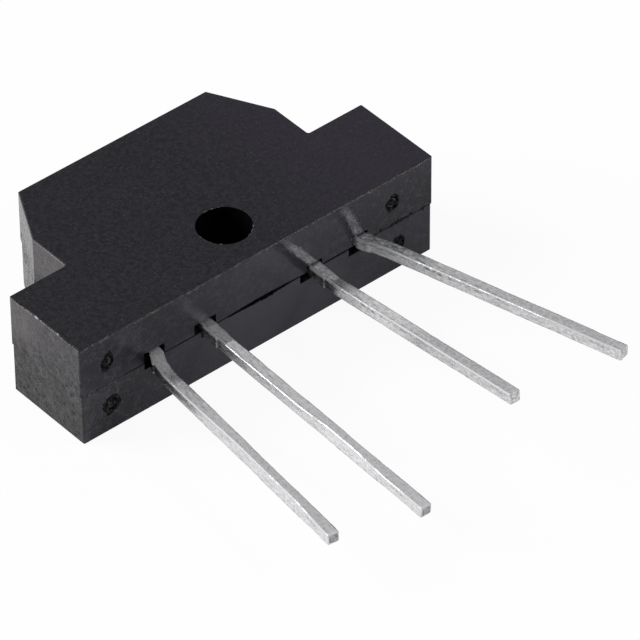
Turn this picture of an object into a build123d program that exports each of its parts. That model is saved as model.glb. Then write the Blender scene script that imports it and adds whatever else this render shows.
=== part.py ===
"""Reflective optical sensor for printed circuit boards.

A T-shaped black housing is moulded in two halves that meet at mid height and are located by two pins.
Two lensed packages lie in tilted pockets in its nose, an infrared emitter on the left and a
phototransistor on the right, and look out through two apertures at one target in front of the nose face.
Each package stands on two stamped leads, which leave the back of the housing through slots at the
parting line. A hole through the middle takes a mounting screw.

Lengths are in millimetres and angles in degrees. X runs along the housing's width, Y towards the nose
and Z upwards. The origin is on the mounting hole's axis, in the plane of the underside.
"""

from build123d import *

import os
from math import cos, radians, sin, sqrt, tan

os.makedirs("parts", exist_ok=True)

# Housing
body_width = 17.6
arm_depth = 4.24
stem_width = 12.14
stem_side = 2.0
nose_width = 9.4
nose_taper = 2.62
body_height = 4.76
corner_round = 0.08
edge_break = 0.05
parting_chamfer = 0.02
lower_half_inset = 0.06

# Mounting hole
hole_diameter = 2.26
hole_setback = 2.07

# Optical layout: both axes meet at a target in front of the nose face
focus_distance = 3.8
optical_tilt = 24.0
lens_recess = 0.85
aperture_diameter = 2.1

# Lensed package and the pocket around it
package_diameter = 3.0
dome_height = 1.5
barrel_length = 1.55
flange_diameter = 3.5
flange_thickness = 0.8
pocket_clearance = 0.04

# Leads
lead_size = 0.5
lead_edge_break = 0.04
lead_pitch = 2.54
pair_spacing = 7.62
knee_setback = 0.6
bend_radius = 0.8
lead_length = 12.4
exit_run = 1.3

# How much shorter than the longest lead each of the others is cut
outer_left_trim = 0.25
inner_right_trim = 0.6
outer_right_trim = 0.3

# The outer left lead has one more bend, close to the back face
early_run = 0.55

# Where the leads of the right pair leave the housing, off their even places
inner_right_shift = 0.24
outer_right_lift = 0.18

# Stubs left on both sides of each lead where the dam bar was cut away
stub_overhang = 0.06
stub_thinning = 0.01
stub_start = 0.03
inner_stub_end = 0.9
outer_stub_end = 0.6

# Slots in the back and the chambers that lead to them
slot_depth = 1.3
chamber_side = 0.3
chamber_clearance = 0.5

# Openings between the halves along the back: a bowed one at mid width and a thin one on the right
bowed_gap = 0.2
thin_gap = 0.08
gap_depth = 0.6

# Locating pins on the lower half and their sockets in the upper half
pin_diameter = 1.3
pin_height = 1.0
pin_end_inset = 1.9
pin_lead_in = 0.2
socket_clearance = 0.03
socket_spare_depth = 0.15

# Broken gates on the back face: a shallow round recess around a torn nub
gate_diameter = 0.62
gate_depth = 0.12
gate_nub_diameter = 0.4
gate_nub_height = 0.07
gate_offset = 1.1
upper_left_gate_inset = 1.3
upper_right_gate_inset = 2.05
lower_left_gate_inset = 1.45
lower_right_gate_inset = 1.75

# Lead frame heads, with levels measured forwards from the package's back
head_foot = 0.4
plate_top = 1.85
head_diameter = 1.0
head_height = 0.35
cup_depth = 0.28
cup_floor_diameter = 0.5
cup_rim = 0.06
post_top = 2.2
post_gap = 0.2
post_pad = 0.36

# Chips, the adhesive under them and their bond wires
emitter_chip_size = 0.28
emitter_chip_height = 0.18
detector_chip_size = 0.5
detector_chip_height = 0.2
adhesive_thickness = 0.02
adhesive_margin = 0.03
wire_diameter = 0.04
wire_rise = 0.35
wire_bend_radius = 0.15
wire_facets = 8

# How far a cut runs past the surface that it opens
cut_margin = 0.5

# Places that follow from the sizes above
rear_y = -hole_setback
arm_front_y = rear_y + arm_depth
stem_front_y = arm_front_y + stem_side
nose_y = stem_front_y + nose_taper
mid_height = body_height / 2
package_length = dome_height + barrel_length + flange_thickness
package_back = -lens_recess - package_length
flange_front = package_back + flange_thickness
dome_base = flange_front + barrel_length
foot_level = package_back + head_foot
plate_level = package_back + plate_top
head_level = plate_level + head_height
post_level = package_back + post_top
inner_exit = (pair_spacing - lead_pitch) / 2
outer_exit = (pair_spacing + lead_pitch) / 2
slot_entry_y = rear_y + slot_depth
pin_x = body_width / 2 - pin_end_inset
pin_y = rear_y + arm_depth / 2

LEFT, RIGHT = -1, 1
UPPER, LOWER = 1, -1

# Runs of each lead behind the housing, as length, splay towards +X and rise in degrees
long_run = lead_length - exit_run
lead_runs = {
    (LEFT, "outer"): (
        (early_run, -30, -1.7),
        (exit_run - early_run, -13, -1.5),
        (long_run - outer_left_trim, -5.4, -0.3),
    ),
    (LEFT, "inner"): ((exit_run, -4.1, -0.7), (long_run, 1.7, -5.3)),
    (RIGHT, "inner"): ((exit_run, -2.0, 0.6), (long_run - inner_right_trim, -0.5, 7.0)),
    (RIGHT, "outer"): ((exit_run, 19.5, 1.0), (long_run - outer_right_trim, 14.8, 0.2)),
}

# Clearance of each lead's slot in each half: to the left of the lead, to its right, and above or below it
slot_clearances = {
    (UPPER, LEFT, "outer"): (0.39, 0.11, 0.23),
    (UPPER, LEFT, "inner"): (0.46, 0.12, 0.24),
    (UPPER, RIGHT, "inner"): (0.15, 0.12, 0.08),
    (UPPER, RIGHT, "outer"): (0.08, 0.14, 0.06),
    (LOWER, LEFT, "outer"): (0.39, 0.11, 0.08),
    (LOWER, LEFT, "inner"): (0.12, 0.12, 0.08),
    (LOWER, RIGHT, "inner"): (0.5, 0.12, 0.13),
    (LOWER, RIGHT, "outer"): (0.33, 0.14, 0.31),
}


def device_plane(side):
    """Mid-height plane of a package: Y runs out along its optical axis from the nose face."""
    tilt = radians(optical_tilt)
    return Plane(
        origin=(side * focus_distance * tan(tilt), nose_y, mid_height),
        x_dir=(cos(tilt), side * sin(tilt), 0),
        z_dir=(0, 0, 1),
    )


def optical_axis(side):
    """Axis of a package, pointing out of the nose."""
    plane = device_plane(side)
    return Axis(plane.origin, plane.y_dir)


def lead_mouth(side, row):
    """Point where a lead's centre line crosses the back face."""
    shift = inner_right_shift if (side, row) == (RIGHT, "inner") else 0
    lift = outer_right_lift if (side, row) == (RIGHT, "outer") else 0
    across = side * (outer_exit if row == "outer" else inner_exit)
    return Vector(across + shift, rear_y, mid_height + lift)


def slot_walls(height_side, side, row):
    """Left wall, right wall and far level of a lead's slot in one half of the housing."""
    left, right, beyond = slot_clearances[height_side, side, row]
    mouth = lead_mouth(side, row)
    return (
        mouth.X - lead_size / 2 - left,
        mouth.X + lead_size / 2 + right,
        mouth.Z + height_side * (lead_size / 2 + beyond),
    )


def run_direction(splay, rise):
    """Unit vector straight back, turned by splay towards +X and by rise upwards."""
    turn, climb = radians(splay), radians(rise)
    return Vector(sin(turn) * cos(climb), -cos(turn) * cos(climb), sin(climb))


def lead_corners(side, row):
    """Corners of a lead's centre line from its foot in the package to its tip."""
    plane = device_plane(side)
    across = (side if row == "outer" else -side) * lead_pitch / 2
    mouth = lead_mouth(side, row)
    corners = [
        plane.from_local_coords(Vector(across, foot_level, 0)),
        plane.from_local_coords(Vector(across, package_back - knee_setback, 0)),
        mouth + Vector(0, slot_depth, 0),
        mouth,
    ]
    for length, splay, rise in lead_runs[side, row]:
        corners.append(corners[-1] + run_direction(splay, rise) * length)
    return corners


def bent_lead(side, row):
    """Lead bent at the corners of its centre line, with the dam bar stub on its first run outside."""
    corners = lead_corners(side, row)
    first_run = run_direction(*lead_runs[side, row][0][1:])
    stub_foot = lead_mouth(side, row) + first_run * stub_start
    stub_end = outer_stub_end if row == "outer" else inner_stub_end
    with BuildPart() as lead:
        with BuildLine() as route:
            FilletPolyline(*corners, radius=bend_radius)
        with BuildSketch(Plane(origin=corners[0], x_dir=(0, 0, 1), z_dir=route.line % 0)) as section:
            Rectangle(lead_size, lead_size)
            chamfer(section.vertices(), lead_edge_break)
        sweep()
        with BuildSketch(Plane(origin=stub_foot, x_dir=(0, 0, 1), z_dir=first_run)):
            Rectangle(lead_size - 2 * stub_thinning, lead_size + 2 * stub_overhang)
        extrude(amount=stub_end - stub_start)
    return lead.part


def package_pocket(side, height_side):
    """Space for a package in one half: aperture, barrel and flange bores, a chamber and two slots."""
    plane = device_plane(side)
    aperture_radius = aperture_diameter / 2
    barrel_radius = package_diameter / 2 + pocket_clearance
    groove_radius = flange_diameter / 2 + pocket_clearance
    groove_back = package_back - pocket_clearance
    groove_front = flange_front + pocket_clearance
    rim_ratio = aperture_diameter / package_diameter
    lens_seat = dome_base + dome_height * sqrt(1 - rim_ratio**2) + pocket_clearance
    outside = aperture_radius * tan(radians(optical_tilt)) + cut_margin
    with BuildPart() as pocket:
        with BuildSketch(plane):
            with BuildLine():
                Polyline(
                    (0, groove_back),
                    (groove_radius, groove_back),
                    (groove_radius, groove_front),
                    (barrel_radius, groove_front),
                    (barrel_radius, lens_seat),
                    (aperture_radius, lens_seat),
                    (aperture_radius, outside),
                    (0, outside),
                    close=True,
                )
            make_face()
        revolve(axis=optical_axis(side))
        lead_reach = lead_size / 2 + chamber_side
        chamber_reach = lead_pitch / 2 + lead_reach
        outer_corner = plane.from_local_coords(Vector(side * chamber_reach, groove_back, 0))
        inner_corner = plane.from_local_coords(Vector(-side * chamber_reach, groove_back, 0))
        with BuildSketch(Plane.XY.offset(mid_height)):
            with BuildLine():
                Polyline(
                    (side * (outer_exit + lead_reach), slot_entry_y),
                    (outer_corner.X, outer_corner.Y),
                    (inner_corner.X, inner_corner.Y),
                    (side * (inner_exit - lead_reach), slot_entry_y),
                    close=True,
                )
            make_face()
        extrude(amount=lead_size / 2 + chamber_clearance, both=True)
        for row in ("inner", "outer"):
            left_wall, right_wall, far_level = slot_walls(height_side, side, row)
            with BuildSketch(Plane.XY.offset(far_level)):
                with Locations(((left_wall + right_wall) / 2, rear_y + slot_depth / 2)):
                    Rectangle(right_wall - left_wall, slot_depth + 2 * cut_margin)
            extrude(amount=mid_height - far_level)
    return pocket.part


def housing_half(height_side, left_gate_inset, right_gate_inset):
    """Half of the housing, from the parting plane to the top or to the underside."""
    parting_plane = Plane.XY.offset(mid_height)
    back_plane = Plane(origin=(0, rear_y, 0), x_dir=(1, 0, 0), z_dir=(0, -1, 0))
    bow_start = slot_walls(height_side, LEFT, "inner")[1]
    bow_end, thin_start = slot_walls(height_side, RIGHT, "inner")[:2]
    thin_end = slot_walls(height_side, RIGHT, "outer")[0]
    inset = lower_half_inset if height_side == LOWER else 0
    gates = [
        (LEFT * (body_width / 2 - left_gate_inset), mid_height + height_side * gate_offset),
        (RIGHT * (body_width / 2 - right_gate_inset), mid_height + height_side * gate_offset),
    ]
    with BuildPart() as half:
        with BuildSketch(parting_plane):
            with BuildLine():
                Polyline(
                    (0, rear_y),
                    (body_width / 2 - inset, rear_y),
                    (body_width / 2 - inset, arm_front_y),
                    (stem_width / 2 - inset, arm_front_y),
                    (stem_width / 2 - inset, stem_front_y),
                    (nose_width / 2 - inset, nose_y),
                    (0, nose_y),
                )
                mirror(about=Plane.YZ)
            make_face()
        extrude(amount=height_side * mid_height)
        fillet(half.edges().filter_by(Axis.Z), corner_round)
        levels = half.faces().filter_by(Axis.Z).sort_by(Axis.Z, reverse=height_side == UPPER)
        chamfer(levels[0].edges(), edge_break)
        levels = half.faces().filter_by(Axis.Z).sort_by(Axis.Z, reverse=height_side == UPPER)
        chamfer(levels[-1].edges(), parting_chamfer)
        with Locations(parting_plane):
            Hole(hole_diameter / 2)
        add(package_pocket(LEFT, height_side), mode=Mode.SUBTRACT)
        add(package_pocket(RIGHT, height_side), mode=Mode.SUBTRACT)
        with BuildSketch(back_plane):
            with BuildLine():
                Line((bow_start, mid_height), (bow_end, mid_height))
                ThreePointArc(
                    (bow_start, mid_height),
                    ((bow_start + bow_end) / 2, mid_height + height_side * bowed_gap / 2),
                    (bow_end, mid_height),
                )
            make_face()
            with Locations(((thin_start + thin_end) / 2, mid_height)):
                Rectangle(thin_end - thin_start, thin_gap)
        extrude(amount=-gap_depth, mode=Mode.SUBTRACT)
        with BuildSketch(back_plane):
            with Locations(*gates):
                Circle(gate_diameter / 2)
        extrude(amount=-gate_depth, mode=Mode.SUBTRACT)
        with BuildSketch(back_plane.offset(-gate_depth)):
            with Locations(*gates):
                Circle(gate_nub_diameter / 2)
        extrude(amount=gate_nub_height)
    return half.part


# Upper half of the housing, with the sockets
with BuildPart() as upper_housing:
    add(housing_half(UPPER, upper_left_gate_inset, upper_right_gate_inset))
    with BuildSketch(Plane.XY.offset(mid_height)):
        with Locations((-pin_x, pin_y), (pin_x, pin_y)):
            Circle(pin_diameter / 2 + socket_clearance)
    extrude(amount=pin_height + socket_spare_depth, mode=Mode.SUBTRACT)
upper_housing.part.label = "upper_housing"
export_step(upper_housing.part, "parts/upper_housing.step")

# Lower half of the housing, with the pins
with BuildPart() as lower_housing:
    add(housing_half(LOWER, lower_left_gate_inset, lower_right_gate_inset))
    with BuildSketch(Plane.XY.offset(mid_height)):
        with Locations((-pin_x, pin_y), (pin_x, pin_y)):
            Circle(pin_diameter / 2)
    extrude(amount=pin_height)
    pin_tops = lower_housing.faces().filter_by(Axis.Z).sort_by(Axis.Z)[-2:]
    chamfer(pin_tops.edges(), pin_lead_in)
lower_housing.part.label = "lower_housing"
export_step(lower_housing.part, "parts/lower_housing.step")

# Each device: the side it is on, the names of its leads, its chip and the depth of its cup
devices = (
    (LEFT, "emitter", "cathode", "anode", emitter_chip_size, emitter_chip_height, cup_depth),
    (RIGHT, "detector", "collector", "emitter", detector_chip_size, detector_chip_height, 0),
)
for side, device, carrier_name, post_name, chip_size, chip_height, recess in devices:
    plane = device_plane(side)
    axis = optical_axis(side)
    inner_edge, outer_edge = (lead_pitch - lead_size) / 2, (lead_pitch + lead_size) / 2
    head_radius = head_diameter / 2
    pad_start = head_radius + post_gap
    pad_middle = pad_start + post_pad / 2
    chip_floor = head_level - recess + adhesive_thickness
    chip_top = chip_floor + chip_height

    # Inner lead: a plate that leans in to the optical axis and carries the chip on a round head
    with BuildPart() as carrier:
        add(bent_lead(side, "inner"))
        with BuildSketch(plane):
            with BuildLine():
                Polyline(
                    (-side * outer_edge, foot_level),
                    (-side * head_radius, plate_level),
                    (side * head_radius / 2, plate_level),
                    (-side * inner_edge, foot_level),
                    close=True,
                )
            make_face()
        extrude(amount=lead_size / 2, both=True)
        with BuildSketch(plane):
            with BuildLine():
                Polyline(
                    (0, plate_level - head_height),
                    (head_radius - cup_rim, plate_level - head_height / 2),
                    (head_radius, plate_level),
                    (head_radius, head_level),
                    (0, head_level),
                    close=True,
                )
            make_face()
        revolve(axis=axis)
        if recess:
            with BuildSketch(plane):
                with BuildLine():
                    Polyline(
                        (0, head_level - recess),
                        (cup_floor_diameter / 2, head_level - recess),
                        (head_radius - cup_rim, head_level),
                        (0, head_level),
                        close=True,
                    )
                make_face()
            revolve(axis=axis, mode=Mode.SUBTRACT)
    carrier.part.label = f"{device}_{carrier_name}_lead"
    export_step(carrier.part, f"parts/{device}_{carrier_name}_lead.step")

    # Outer lead: a post that ends in a pad beside the head, for the bond wire
    with BuildPart() as post:
        add(bent_lead(side, "outer"))
        with BuildSketch(plane):
            with BuildLine():
                Polyline(
                    (side * outer_edge, foot_level),
                    (side * (pad_start + post_pad), post_level),
                    (side * pad_start, post_level),
                    (side * inner_edge, foot_level),
                    close=True,
                )
            make_face()
        extrude(amount=lead_size / 2, both=True)
    post.part.label = f"{device}_{post_name}_lead"
    export_step(post.part, f"parts/{device}_{post_name}_lead.step")

    # Adhesive pad on the head or on the cup's floor
    with BuildPart() as adhesive:
        with BuildSketch(plane):
            with Locations((0, chip_floor - adhesive_thickness / 2)):
                Rectangle(chip_size + 2 * adhesive_margin, adhesive_thickness)
        extrude(amount=chip_size / 2 + adhesive_margin, both=True)
    adhesive.part.label = f"{device}_die_attach"
    export_step(adhesive.part, f"parts/{device}_die_attach.step")

    # Chip
    with BuildPart() as chip:
        with BuildSketch(plane):
            with Locations((0, chip_floor + chip_height / 2)):
                Rectangle(chip_size, chip_height)
        extrude(amount=chip_size / 2, both=True)
    chip.part.label = f"{device}_die"
    export_step(chip.part, f"parts/{device}_die.step")

    # Bond wire: up from the chip, across the gap and down to the post's pad
    crest = chip_top + wire_rise
    wire_path = [
        (0, chip_top),
        (0, crest),
        (side * pad_middle, crest),
        (side * pad_middle, post_level),
    ]
    with BuildPart() as wire:
        with BuildLine(plane) as loop:
            FilletPolyline(*wire_path, radius=wire_bend_radius)
        with BuildSketch(Plane(origin=loop.line @ 0, z_dir=loop.line % 0)):
            RegularPolygon(wire_diameter / 2, side_count=wire_facets)
        sweep()
    wire.part.label = f"{device}_bond_wire"
    export_step(wire.part, f"parts/{device}_bond_wire.step")

    # Moulded body with a domed lens, and a flat on the flange beside the inner lead
    with BuildPart() as package:
        with BuildSketch(plane):
            with BuildLine():
                Polyline(
                    (0, dome_base + dome_height),
                    (0, package_back),
                    (flange_diameter / 2, package_back),
                    (flange_diameter / 2, flange_front),
                    (package_diameter / 2, flange_front),
                    (package_diameter / 2, dome_base),
                )
                TangentArc(
                    (0, dome_base + dome_height), (package_diameter / 2, dome_base), tangent=(1, 0)
                )
            make_face()
        revolve(axis=axis)
        with BuildSketch(plane):
            with Locations((-side * (package_diameter + flange_diameter) / 2, package_back)):
                Rectangle(flange_diameter, 2 * flange_thickness)
        extrude(amount=flange_diameter, both=True, mode=Mode.SUBTRACT)
        for piece in (carrier, post, adhesive, chip, wire):
            add(piece.part, mode=Mode.SUBTRACT)
    package.part.label = f"{device}_package"
    export_step(package.part, f"parts/{device}_package.step")
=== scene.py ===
"""Looks of the reflective optical sensor: moulded black housing, tilted lensed packages and bent leads.

Everything is in metres in the part's own frame: X along the housing's width, Y towards the nose and Z up,
with the origin on the mounting hole's axis in the plane of the underside. Sizes below are written in
millimetres and turned into metres where a mesh is made.
"""

from math import cos, pi, radians, sin, tan

import bpy
import numpy as np
from mathutils import Matrix, Vector


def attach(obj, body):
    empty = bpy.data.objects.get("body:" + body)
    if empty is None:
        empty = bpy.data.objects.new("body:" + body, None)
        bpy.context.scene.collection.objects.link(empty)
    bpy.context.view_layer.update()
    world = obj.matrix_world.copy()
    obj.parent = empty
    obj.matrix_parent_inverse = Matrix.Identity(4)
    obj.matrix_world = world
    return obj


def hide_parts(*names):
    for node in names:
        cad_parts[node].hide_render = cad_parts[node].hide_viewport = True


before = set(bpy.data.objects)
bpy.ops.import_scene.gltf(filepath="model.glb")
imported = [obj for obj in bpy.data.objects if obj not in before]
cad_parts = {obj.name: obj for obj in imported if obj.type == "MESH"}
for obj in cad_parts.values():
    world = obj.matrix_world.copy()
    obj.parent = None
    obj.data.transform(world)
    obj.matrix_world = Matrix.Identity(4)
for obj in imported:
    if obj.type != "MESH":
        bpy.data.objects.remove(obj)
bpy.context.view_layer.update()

MM = 0.001


# Sizes shared with the solids, in millimetres
REAR_Y, ARM_FRONT_Y, NOSE_Y = -2.07, 2.17, 6.79
BODY_X = 8.8
HEIGHT = 4.76
MID = HEIGHT / 2
OPTICAL_TILT = radians(24.0)
FOCUS = 3.8
LENS_RECESS = 0.85
PACKAGE_RADIUS, FLANGE_RADIUS = 1.5, 1.75
DOME, BARREL, FLANGE = 1.5, 1.55, 0.8
PACKAGE_BACK = -LENS_RECESS - DOME - BARREL - FLANGE
LEAD = 0.5
LEAD_ROUND = 0.05
QUARTER = LEAD - 2 * LEAD_ROUND + pi / 2 * LEAD_ROUND
BEND_RADIUS = 0.8
PITCH = 2.54
KNEE_SETBACK = 0.6
SLOT_DEPTH = 1.3
FOOT = PACKAGE_BACK + 0.4
PLATE = PACKAGE_BACK + 1.85
HEAD = PLATE + 0.35
POST = PACKAGE_BACK + 2.2
HEAD_RADIUS = 0.5
CUP_RIM, CUP_FLOOR_RADIUS, CUP_DEPTH = 0.06, 0.25, 0.28
PAD_START, PAD = 0.7, 0.36
STUB_OVERHANG, STUB_START = 0.06, 0.03
HOLE_RADIUS = 1.13
ADHESIVE = 0.02
WIRE_RADIUS, WIRE_RISE, WIRE_BEND = 0.02, 0.35, 0.15
RECESS_EDGE = 0.24, 0.31

# Sizes of the dressed forms alone, in millimetres
FLAT_STEPS = 7
END_ROUND = 0.05
STUB_STEP, STUB_SIDE = 0.012, 0.006
ROLLED_EDGE = 0.03
PLATE_INTO_LEAD = 0.02
NEARLY_NOUGHT = 1e-4
BOX_GAP = 0.0005
LEAN = 0.115
# Where along a lead its drawn left flank begins to lean, leans fully, begins to straighten and is upright
LEANING = {
    "emitter_anode_lead": (2.6, 6.6, 9.6, 12.0),
    "emitter_cathode_lead": (5.4, 7.2, 8.2, 10.6),
}
# Where along a lead the smooth tin beside the body gives way to rougher tin
NEAR_BODY = 1.4, 2.2

LEFT, RIGHT = -1, 1

# Each lead: side, -1 for the row beside the other pair and 1 for the outer row, mouth at the back face,
# stub length, and its runs outside as length, splay towards +X and rise in degrees
LEADS = {
    "emitter_anode_lead": (
        LEFT, 1, (-5.08, MID), 0.6, ((0.55, -30, -1.7), (0.75, -13, -1.5), (10.85, -5.4, -0.3)),
    ),
    "emitter_cathode_lead": (LEFT, -1, (-2.54, MID), 0.9, ((1.3, -4.1, -0.7), (11.1, 1.7, -5.3))),
    "detector_collector_lead": (RIGHT, -1, (2.78, MID), 0.9, ((1.3, -2.0, 0.6), (10.5, -0.5, 7.0))),
    "detector_emitter_lead": (RIGHT, 1, (5.08, MID + 0.18), 0.6, ((1.3, 19.5, 1.0), (10.8, 14.8, 0.2))),
}
# Each chip: side, width, thickness, and how deep below the head's rim it is seated
CHIPS = {"emitter": (LEFT, 0.28, 0.18, CUP_DEPTH), "detector": (RIGHT, 0.5, 0.2, 0.0)}


def chip_top(device):
    """Level of a chip's top: the head's rim, less its cup, plus the adhesive and the chip's thickness."""
    thick, deep = CHIPS[device][2:]
    return HEAD - deep + ADHESIVE + thick


# Meshes worked out as whole arrays

def unit(vectors):
    """Vectors of length one, along the last axis of an array."""
    return vectors / np.linalg.norm(vectors, axis=-1, keepdims=True)


def ease(low, high, values):
    """Zero up to low, one from high on, and the cubic 3t² - 2t³ between them."""
    t = np.clip((values - low) / (high - low), 0.0, 1.0)
    return t * t * (3.0 - 2.0 * t)


def wander(places, seed, length, octaves=3):
    """Smooth uneven values with a spread of about one.

    Each octave adds six sine waves in random directions through the places; its waves are half as long and
    half as high as those of the octave before.
    """
    rng = np.random.default_rng(seed)
    total = np.zeros(places.shape[:-1])
    for octave in range(octaves):
        ways = unit(rng.normal(size=(6, places.shape[-1]))) * (2 * pi * 2**octave / length)
        phases = rng.uniform(0.0, 2 * pi, 6)
        total += np.sin(places @ ways.T + phases).sum(axis=-1) / 2**octave
    return total / 2.0


def placed(name, data):
    """A new object in the scene, at the origin and unturned."""
    thing = bpy.data.objects.new(name, data)
    bpy.context.scene.collection.objects.link(thing)
    return thing


def mesh_piece(name, points, faces, material, chart=None, smooth=True, sharp=None):
    """A mesh object from points in millimetres and faces, riding on the part's one body.

    The chart gives each face corner its place on the surface in millimetres, for patterns that follow it.
    Edges that turn by more than the sharp angle are shaded as edges.
    """
    mesh = bpy.data.meshes.new(name)
    mesh.from_pydata((np.asarray(points) * MM).tolist(), [], faces)
    mesh.polygons.foreach_set("use_smooth", np.full(len(mesh.polygons), smooth))
    mesh.materials.append(material)
    if chart is not None:
        mesh.uv_layers.new(name="chart").data.foreach_set("uv", np.asarray(chart, float).ravel())
    if sharp:
        mesh.set_sharp_from_angle(angle=sharp)
    mesh.update()
    piece = placed(name, mesh)
    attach(piece, "root")
    return piece


def tube_mesh(rings, along, around):
    """Points, faces and chart of a closed tube from rings of points, one row per station.

    Each ring runs right-handed round the direction in which the stations follow each other, so the quads
    face out. Both ends are closed by triangles to the middle of the first and of the last ring.
    """
    rows, columns = rings.shape[:2]
    points = np.concatenate([rings.reshape(-1, 3), rings[0].mean(0)[None], rings[-1].mean(0)[None]])
    row, column = np.meshgrid(np.arange(rows - 1), np.arange(columns), indexing="ij")
    after = (column + 1) % columns
    this, following = row * columns, (row + 1) * columns
    quads = np.stack([this + column, this + after, following + after, following + column], axis=-1)
    u = np.stack([along[row], along[row], along[row + 1], along[row + 1]], axis=-1)
    v = np.stack([around[column], around[column + 1], around[column + 1], around[column]], axis=-1)
    here = np.arange(columns)
    beyond = (here + 1) % columns
    first, last = rows * columns, rows * columns + 1
    back = np.stack([beyond, here, np.full(columns, first)], axis=-1)
    front = np.stack([here, beyond, np.full(columns, last)], axis=-1)
    front[:, :2] += (rows - 1) * columns
    lids = np.concatenate([back, front])
    lid_chart = np.concatenate([
        np.stack([np.full((columns, 3), along[0]), around[[here + 1, here, here]].T], axis=-1),
        np.stack([np.full((columns, 3), along[-1]), around[[here, here + 1, here]].T], axis=-1),
    ])
    chart = np.concatenate([np.stack([u, v], axis=-1).reshape(-1, 2), lid_chart.reshape(-1, 2)])
    return points, quads.reshape(-1, 4).tolist() + lids.tolist(), chart


def rounded_route(corners, radius, spacing):
    """Points along straight runs joined by arcs that touch both runs, in two or three dimensions.

    At each corner the arc leaves the run at radius times the tangent of half the turn, and is sampled at
    even angles; the runs between arcs are sampled at about the given spacing.
    """
    corners = np.asarray(corners, float)
    ways = unit(np.diff(corners, axis=0))
    pieces, start = [], corners[0]
    for corner, before, after in zip(corners[1:-1], ways[:-1], ways[1:]):
        turn = np.arccos(np.clip(before @ after, -1.0, 1.0))
        reach = radius * np.tan(turn / 2)
        first = corner - before * reach
        centre = first + unit(after - before * (before @ after)) * radius
        angles = np.linspace(0.0, turn, max(4, int(np.ceil(turn / radians(4.0)))))[:, None]
        arc = centre + (first - centre) * np.cos(angles) + before * radius * np.sin(angles)
        count = max(2, int(np.linalg.norm(first - start) / spacing))
        pieces.append(start + (first - start) * np.linspace(0.0, 1.0, count, endpoint=False)[:, None])
        pieces.append(arc[:-1])
        start = arc[-1]
    count = max(2, int(np.linalg.norm(corners[-1] - start) / spacing))
    pieces.append(start + (corners[-1] - start) * np.linspace(0.0, 1.0, count)[:, None])
    return np.concatenate(pieces)


def stations(route):
    """Distance of each point of a route from its start."""
    return np.concatenate([[0.0], np.cumsum(np.linalg.norm(np.diff(route, axis=0), axis=1))])


def level_frames(route):
    """Side and up vectors at each point of a route, with the side always level.

    The side is the level vector at right angles to the way, and up completes the right-handed set.
    """
    way = unit(np.gradient(route, axis=0))
    side = unit(np.cross([0.0, 0.0, 1.0], way))
    return side, np.cross(way, side)


def rounded_square(half, radius, steps, flat_steps):
    """Outline of a square with round corners, right-handed from the middle of its first side.

    Each corner is a quarter circle of the given steps and each flat is divided evenly, so that the points
    lie close enough for the flats to be given a little unevenness.
    """
    quarter = np.linspace(0.0, pi / 2, steps)
    corner = np.stack([np.cos(quarter), np.sin(quarter)], axis=-1) * radius + (half - radius)
    rise = np.linspace(-(half - radius), half - radius, flat_steps, endpoint=False)[1:]
    side = np.concatenate([np.stack([np.full(len(rise), half), rise], axis=-1), corner])
    turns = [np.array([[cos(a), sin(a)], [-sin(a), cos(a)]]) for a in (0.0, pi / 2, pi, 1.5 * pi)]
    return np.concatenate([side @ turn for turn in turns])


def ring_lengths(outline):
    """Distance along a closed outline of each of its points, and of its first point again at the end."""
    steps = np.linalg.norm(np.roll(outline, -1, axis=0) - outline, axis=1)
    return np.concatenate([[0.0], np.cumsum(steps)])


def on_device(side, local):
    """Places given as across, along the optical axis and up from a package's target, in the part's frame."""
    across, along, up = np.moveaxis(np.asarray(local, float), -1, 0)
    target = side * FOCUS * tan(OPTICAL_TILT)
    x = target + across * cos(OPTICAL_TILT) - along * side * sin(OPTICAL_TILT)
    y = NOSE_Y + across * side * sin(OPTICAL_TILT) + along * cos(OPTICAL_TILT)
    return np.stack([x, y, MID + up], axis=-1)


def turned_mesh(side, profile, columns, flat=None):
    """Points, faces and chart of a body turned round a package's optical axis.

    A point is at radius times (cos v, -sin v) across and up, and at its level along the axis; the profile
    lists radius and level from back to front, with both ends on or near the axis. Where a flat is given as
    a distance and two levels, points between those levels are held inside that distance on the side of the
    inner lead.
    """
    angles = np.linspace(0.0, 2 * pi, columns, endpoint=False)
    radius, level = profile[:, 0, None], profile[:, 1, None]
    across = radius * np.cos(angles)
    if flat:
        distance, low, high = flat
        cut = (level >= low) & (level <= high)
        held = np.where(side > 0, np.maximum(across, -distance), np.minimum(across, distance))
        across = np.where(cut, held, across)
    up = -radius * np.sin(angles)
    rings = on_device(side, np.stack([across, np.broadcast_to(level, across.shape), up], axis=-1))
    around = np.linspace(0.0, 2 * pi, columns + 1) * profile[:, 0].max()
    return tube_mesh(rings, stations(profile), around)


# Node helpers

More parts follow.
